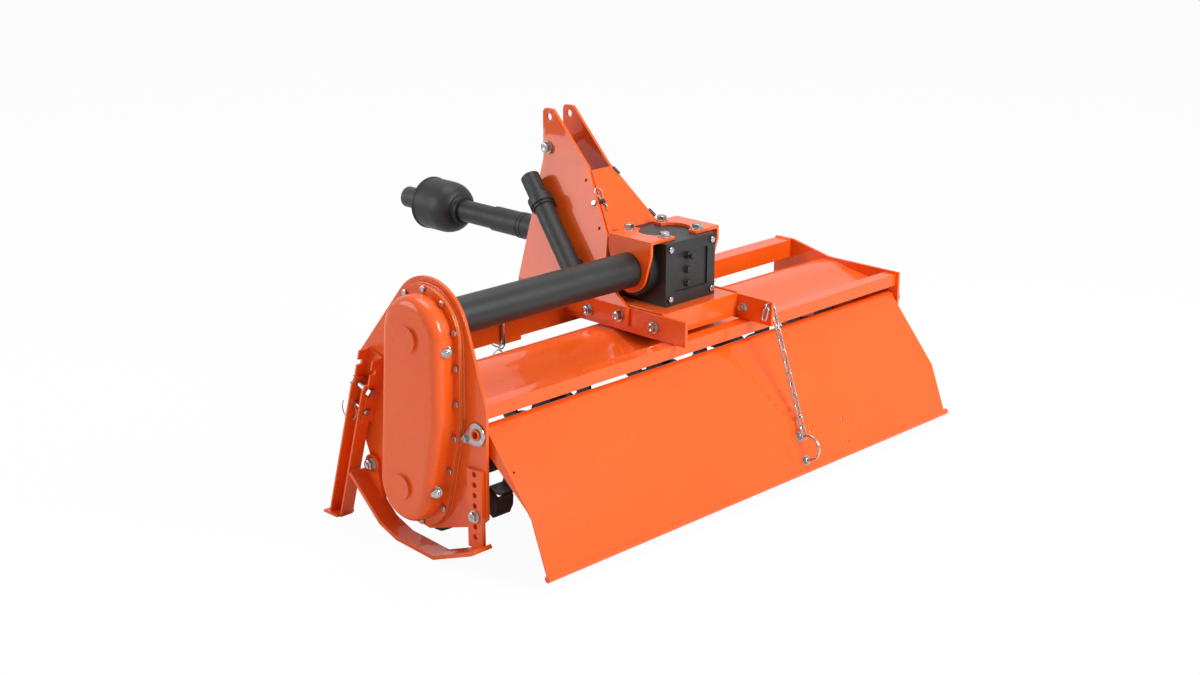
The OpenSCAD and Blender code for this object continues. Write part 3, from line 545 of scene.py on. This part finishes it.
# Welds
welds = Kit("weld_beads", "frame", "orange_paint")
welds.bead(arc_points(at(-PLATE_IN, -8, GEAR_Z), Y, Z, 0.0455, 0, 354, 60), 0.0034, closed=True)
for side in (-1, 1):
    def run(x, start, end, r):
        welds.bead([at(side * x, *start), at(side * x, *end)], r)

    run(PLATE_IN - 1.5, (TUBE_REAR, TUBE_TOP + 1), (TUBE_FRONT + 1, TUBE_TOP + 1), 0.0034)
    run(PLATE_IN - 1.5, (TUBE_FRONT + 1.5, TUBE_TOP + 1), (TUBE_FRONT + 1.5, 366), 0.0034)
    for x in (BRACKET_OUT + 0.5, BRACKET_IN - 0.5):
        run(x, (TUBE_REAR - 1, 388), (TUBE_REAR - 1, 416), 0.0032)
    run(MAST_FOOT_OUT + 1, (TUBE_REAR + 2, TUBE_TOP + 0.5), (TUBE_FRONT, TUBE_TOP + 0.5), 0.0032)
    for x in (HITCH_X - CLEVIS_HALF - 0.5, HITCH_X + CLEVIS_HALF + 0.5):
        run(x, (TUBE_FRONT + 0.5, 356), (TUBE_FRONT + 0.5, 426), 0.0034)
    run(SKID_OUT + 0.5, (-184, 54), (-137, 41), 0.0030)
    run(BRACKET_IN, (-136, 452.5), (76, 452.5), 0.0026)
welds.bead([at(-PLATE_OUT - 1, p.x, p.y) for p in belt(-1.0, 40)[:-1]], 0.0026, closed=True)

# Hairpin on its pin at the mast, and the two rubber clips on the guard's edge
guard_out = Vector((0.0, -0.771, 0.637))
guard_up = Vector((0.0, 0.637, 0.771))
pins = Kit("mast_pins", "frame", "zinc_plate")
spot = at(-58, 154, 668) + 0.010 * guard_out
head = facing(at(-70, 166, 668), (-0.934, 0.0, 0.357))
pins.lathe(head, [(0.0075, -0.003), (0.0075, 0.003), (0.006, 0.0045)], 24)


def on_guard(x, up):
    return spot + x * X + up * guard_up


loop = arc_points(on_guard(0.0, 0.026), X, guard_up, 0.0115, -60, 240, 26)
pins.tube([on_guard(0.002, 0.004), *loop, on_guard(-0.002, 0.004), on_guard(0.006, -0.016)], 0.0017, 8)
wave = ((0.002, 0.004), (-0.003, -0.006), (0.003, -0.014), (-0.002, -0.026))
pins.tube([on_guard(*step) for step in wave], 0.0017, 8)
clips = Kit("guard_clips", "frame", "black_plastic")
plug = [(0.0055, -0.004), (0.007, 0.0), (0.007, 0.007), (0.005, 0.009)]
clips.lathe(facing(spot - 0.006 * guard_out, guard_out), plug, 20)
clip_way = (guard_up * 0.92 - X * 0.39).normalized()
for x, y, z in ((42, 202, 727), (87, 117, 623)):
    middle = at(x, y, z) + 0.002 * guard_out
    clips.tube([middle + s * clip_way for s in (-0.012, -0.0105, 0.0105, 0.012)], 0.0062, 10)

# Wire clips on the hooked pins behind the front tube
pin_clips = Kit("hitch_pin_clips", "frame", "zinc_plate")
WIRES = (
    ((416, 370), (405, 363), (394, 358), (390, 361), (388, 368)),
    ((413, 344), (400, 351), (396, 352), (383, 344)),
)
for side in (-1, 1):
    for wire in WIRES:
        pin_clips.tube([at(side * x, 175.2, z) for x, z in wire], 0.0016, 8)

# Deflector: nuts on the hoop's legs, inside and out
KNEE, SHEET_LOW, SHEET_T = Vector((-320.0, 159.0)), Vector((-367.0, 39.0)), 0.004
HOOP_DOWN, HOOP_R, CHAIN_X = 81.0, 31.0, 153.85
fall = (SHEET_LOW - KNEE).normalized()
panel_out = Vector((fall.y, -fall.x))
out_of_panel = Vector((0.0, panel_out.x, panel_out.y))
hoop_mid = KNEE + HOOP_DOWN * fall
hoop_nuts = Kit("hoop_nuts", "deflector", "zinc_plate")
for s in (-HOOP_R, HOOP_R):
    leg = hoop_mid + s * fall
    point = at(CHAIN_X, leg.x, leg.y)
    for place in (facing(point, out_of_panel), facing(point - SHEET_T * out_of_panel, -out_of_panel)):
        hoop_nuts.washer(place, 0.0135, 0.002)
        hoop_nuts.hexagon(place, 0.0095, 0.002, 0.007)

# Spring ring on the stand's lock pin
LEAN, LOCK_DOWN = math.radians(17.0), 54
pin_way = Vector((0.0, math.cos(LEAN), math.sin(LEAN)))
lock = at(STAND_X, STAND_Y + LOCK_DOWN * math.sin(LEAN), STAND_Z - LOCK_DOWN * math.cos(LEAN))
end = lock + 0.031 * pin_way
lock_ring = Kit("lock_ring", "stand", "zinc_plate")
loop = arc_points(end + Vector((-0.004, 0.004, -0.024)), Y, Z, 0.0265, 100, 398, 40)
lock_ring.tube([end - 0.002 * Z, *loop], 0.0013, 8)

# Deflector chain: bright links from the notch down to the hoop
LINK_D, LINK_W, RING_W, LINK_N, SLIP = 5.0, 7.5, 10.0, 12, 0.3
NOTCH, REST = Vector((-238.0, 436.0)), 0.25
foot = NOTCH - Vector((0.0, (LINK_W + LINK_D) / 2))
hold = hoop_mid - HOOP_R * fall + 16.0 * panel_out
chain_way = (foot - hold).normalized()
chain_top = foot + (LINK_D + REST) * chain_way
pitch = ((chain_top - hold).length + (RING_W + LINK_D) / 2 - LINK_D - SLIP) / LINK_N
link_len = pitch + SLIP


def link(kit, place, width):
    """One oval link round the place's XZ plane, long way along Z."""
    bend, half = (width + LINK_D) / 2, (link_len - width) / 2
    points = []
    for start, rise in ((0.0, half), (math.pi, -half)):
        for i in range(16):
            a = start + math.pi * i / 15
            points.append(Vector((bend * math.cos(a), 0.0, rise + bend * math.sin(a))))
    kit.tube([place @ (p / 1000) for p in points], LINK_D / 2000, 12, closed=True)


def hung(top, up, across, turned, drop=0.0):
    """Place of a link that hangs below a point along up, turned a quarter or not."""
    base = Matrix((across, up.cross(across), up)).transposed()
    place = (base @ Matrix.Rotation(math.pi / 2 if turned else 0.0, 3, "Z")).to_4x4()
    place.translation = top - up * ((link_len + LINK_D) / 2 + drop) / 1000
    return place


chain = Kit("chain_links", None, "zinc_plate")
chain_up = Vector((0.0, chain_way.x, chain_way.y))
for i in range(LINK_N):
    place = hung(at(CHAIN_X, chain_top.x, chain_top.y), chain_up, X, i % 2 == 0, i * pitch)
    link(chain, place, RING_W if i == LINK_N - 1 else LINK_W)
hook = Kit("chain_hook_links", "frame", "zinc_plate")
across = (link_len - LINK_W) / 2 + 0.4
in_notch = Matrix.Translation(at(CHAIN_X - across, NOTCH.x, NOTCH.y))
link(hook, in_notch @ Matrix.Rotation(math.pi / 2, 4, "Y"), LINK_W)
tilt = Vector((math.sin(math.radians(20)), 0.0, math.cos(math.radians(20))))
tail = at(CHAIN_X - 2 * across, foot.x, foot.y + LINK_D + REST)
link(hook, hung(tail, tilt, tilt.cross(Y).normalized(), True), LINK_W)

made = {kit.name: kit.finish() for kit in Kit.made}
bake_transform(made["chain_links"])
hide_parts("deflector_chain")

# Floor and light


def pale_floor():
    material = bpy.data.materials.new("pale_floor")
    material.use_nodes = True
    nodes, links = material.node_tree.nodes, material.node_tree.links
    nodes.clear()
    out, mixed = nodes.new("ShaderNodeOutputMaterial"), nodes.new("ShaderNodeMixShader")
    matt, glow = nodes.new("ShaderNodeBsdfDiffuse"), nodes.new("ShaderNodeEmission")
    path = nodes.new("ShaderNodeLightPath")
    matt.inputs["Color"].default_value = (0.86, 0.86, 0.86, 1.0)
    seen = nodes.new("ShaderNodeMath")
    seen.operation = "MULTIPLY"
    seen.inputs[1].default_value = 0.96
    links.new(path.outputs["Is Camera Ray"], seen.inputs[0])
    links.new(seen.outputs[0], mixed.inputs[0])
    links.new(matt.outputs[0], mixed.inputs[1])
    links.new(glow.outputs[0], mixed.inputs[2])
    links.new(mixed.outputs[0], out.inputs["Surface"])
    return material


floor_mesh = bpy.data.meshes.new("floor")
grow = bmesh.new()
bmesh.ops.create_grid(grow, x_segments=1, y_segments=1, size=40.0)
grow.to_mesh(floor_mesh)
grow.free()
floor = bpy.data.objects.new("floor", floor_mesh)
floor.location.z = -0.0008
floor_mesh.materials.append(pale_floor())
show(floor)

world = bpy.data.worlds.new("studio")
bpy.context.scene.world = world
world.use_nodes = True
nodes, links = world.node_tree.nodes, world.node_tree.links
nodes.clear()
fill, white = nodes.new("ShaderNodeBackground"), nodes.new("ShaderNodeBackground")
fill.inputs["Color"].default_value = (1.0, 1.0, 1.0, 1.0)
fill.inputs["Strength"].default_value = 0.34
path, mixed = nodes.new("ShaderNodeLightPath"), nodes.new("ShaderNodeMixShader")
most = path.outputs["Is Camera Ray"]
for other in ("Is Glossy Ray", "Is Transmission Ray"):
    node = nodes.new("ShaderNodeMath")
    node.operation = "MAXIMUM"
    links.new(most, node.inputs[0])
    links.new(path.outputs[other], node.inputs[1])
    most = node.outputs[0]
links.new(most, mixed.inputs[0])
links.new(fill.outputs[0], mixed.inputs[1])
links.new(white.outputs[0], mixed.inputs[2])
links.new(mixed.outputs[0], nodes.new("ShaderNodeOutputWorld").inputs["Surface"])

LAMPS_AIM = Vector((0.0, 0.0, 0.3))


def lamp(name, place, size, watts):
    data = bpy.data.lights.new(name, "AREA")
    data.shape, data.size, data.energy = "DISK", size, watts
    obj = bpy.data.objects.new(name, data)
    obj.location = place
    obj.rotation_euler = (Vector(place) - LAMPS_AIM).to_track_quat("Z", "Y").to_euler()
    show(obj)


lamp("rear", (0.6, -4.2, 2.9), 2.2, 205.0)
lamp("left", (-4.0, 3.2, 1.9), 3.0, 80.0)
lamp("top", (0.4, 0.6, 4.4), 3.0, 80.0)

bpy.context.scene.view_settings.view_transform = "Standard"
